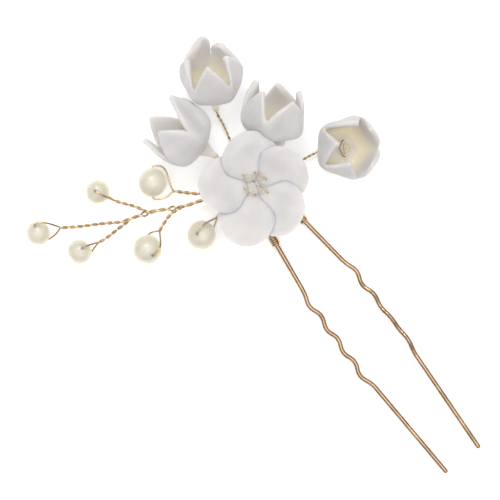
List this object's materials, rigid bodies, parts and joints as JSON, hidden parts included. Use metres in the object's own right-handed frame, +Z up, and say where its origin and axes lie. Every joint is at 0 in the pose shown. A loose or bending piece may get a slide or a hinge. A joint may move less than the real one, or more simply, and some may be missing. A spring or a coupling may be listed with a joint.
{
  "type": "decorative hair pin",
  "caption": "U-shaped gold wire hair pin with a white clay blossom, tulip buds and ivory pearls that spin on twisted wire stems.",
  "frame": {"origin": "on the table, midway between the legs, where they come out from under the blossom", "axes": "+Y from the leg tips to the flowers, +X to the right seen from above, +Z up through the blossom's face"},
  "size_m": [0.0711, 0.1034, 0.0167],
  "materials": {
    "pin_wire": "polished champagne gold plating",
    "gold_wire": "bright drawn wire",
    "white_clay": "matte air-dry porcelain clay",
    "pale_clay": "matte beige-tinted clay",
    "pearl": "pearlescent ivory lacquer",
    "clear_glass": "clear polished glass"
  },
  "bodies": {
    "pin": {"blossom_hub": "pale_clay", "blossom_petal_1": "white_clay", "blossom_petal_2": "white_clay", "blossom_petal_3": "white_clay", "blossom_petal_4": "white_clay", "blossom_petal_5": "white_clay", "bud_1": "white_clay", "bud_1_neck": "pale_clay", "bud_1_stem": "gold_wire", "bud_2": "white_clay", "bud_2_neck": "pale_clay", "bud_2_stem": "gold_wire", "bud_3": "white_clay", "bud_3_neck": "pale_clay", "bud_3_stem": "gold_wire", "bud_4": "white_clay", "bud_4_neck": "pale_clay", "bud_4_stem": "gold_wire", "centre_wire": "gold_wire", "crown_wrap": "gold_wire", "left_leg_wrap": "gold_wire", "pearl_1_stem": "gold_wire", "pearl_2_stem": "gold_wire", "pearl_3_stem": "gold_wire", "pearl_4_stem": "gold_wire", "pearl_5_stem": "gold_wire", "pearl_6_stem": "gold_wire", "right_leg_wrap": "gold_wire", "sprig_trunk": "gold_wire", "u_pin": "pin_wire"},
    "pearl_1": {"pearl_1": "pearl"},
    "pearl_2": {"pearl_2": "pearl"},
    "pearl_3": {"pearl_3": "pearl"},
    "pearl_4": {"pearl_4": "pearl"},
    "pearl_5": {"pearl_5": "pearl"},
    "pearl_6": {"pearl_6": "pearl"},
    "bud_1_bead": {"bud_1_bead": "clear_glass"},
    "bud_2_bead": {"bud_2_bead": "clear_glass"},
    "bud_3_bead": {"bud_3_bead": "clear_glass"},
    "bud_4_bead": {"bud_4_bead": "clear_glass"},
    "centre_bead_1": {"centre_bead_1": "clear_glass"},
    "centre_bead_2": {"centre_bead_2": "clear_glass"},
    "centre_bead_3": {"centre_bead_3": "clear_glass"},
    "centre_bead_4": {"centre_bead_4": "clear_glass"}
  },
  "joints": [
    {"name": "bud_1_bead_spin", "type": "hinge", "parent": "pin", "child": "bud_1_bead", "pos_m": [0.00595, 0.03425, 0.00576], "axis": [0.866, -0.5, 0], "continuous": true},
    {"name": "bud_2_bead_spin", "type": "hinge", "parent": "pin", "child": "bud_2_bead", "pos_m": [-0.00535, 0.02803, 0.00629], "axis": [0.9272, 0.3746, 0], "continuous": true},
    {"name": "bud_3_bead_spin", "type": "hinge", "parent": "pin", "child": "bud_3_bead", "pos_m": [0.01172, 0.01955, 0.00596], "axis": [0.8141, -0.5807, 0], "continuous": true},
    {"name": "bud_4_bead_spin", "type": "hinge", "parent": "pin", "child": "bud_4_bead", "pos_m": [0.01927, 0.00685, 0.00734], "axis": [-0.5075, -0.8616, 0], "continuous": true},
    {"name": "centre_bead_1_spin", "type": "hinge", "parent": "pin", "child": "centre_bead_1", "pos_m": [-0.0003, 0.0138, 0.01055], "axis": [0.3875, -0.9219, 0], "continuous": true},
    {"name": "centre_bead_2_spin", "type": "hinge", "parent": "pin", "child": "centre_bead_2", "pos_m": [0.002, 0.0127, 0.01055], "axis": [0.3875, -0.9219, 0], "continuous": true},
    {"name": "centre_bead_3_spin", "type": "hinge", "parent": "pin", "child": "centre_bead_3", "pos_m": [-0.0017, 0.0115, 0.01055], "axis": [0.3875, -0.9219, 0], "continuous": true},
    {"name": "centre_bead_4_spin", "type": "hinge", "parent": "pin", "child": "centre_bead_4", "pos_m": [0.0006, 0.0103, 0.01055], "axis": [0.3875, -0.9219, 0], "continuous": true},
    {"name": "pearl_1_spin", "type": "hinge", "parent": "pin", "child": "pearl_1", "pos_m": [-0.0267, 0.0307, 0.0035], "axis": [-0.1396, 0.1596, 0.9773], "continuous": true},
    {"name": "pearl_2_spin", "type": "hinge", "parent": "pin", "child": "pearl_2", "pos_m": [-0.0417, 0.0313, 0.0035], "axis": [0.1498, 0.6091, 0.7788], "continuous": true},
    {"name": "pearl_3_spin", "type": "hinge", "parent": "pin", "child": "pearl_3", "pos_m": [-0.0372, 0.023, 0.0035], "axis": [0.41, 0.06, 0.9101], "continuous": true},
    {"name": "pearl_4_spin", "type": "hinge", "parent": "pin", "child": "pearl_4", "pos_m": [-0.0257, 0.0149, 0.004], "axis": [0.0299, -0.5885, 0.8079], "continuous": true},
    {"name": "pearl_5_spin", "type": "hinge", "parent": "pin", "child": "pearl_5", "pos_m": [-0.0165, 0.0253, 0.004], "axis": [0.6, 0.8, 0], "continuous": true},
    {"name": "pearl_6_spin", "type": "hinge", "parent": "pin", "child": "pearl_6", "pos_m": [-0.015, 0.0105, 0.004], "axis": [-0.2096, 0.2395, 0.948], "continuous": true}
  ]
}
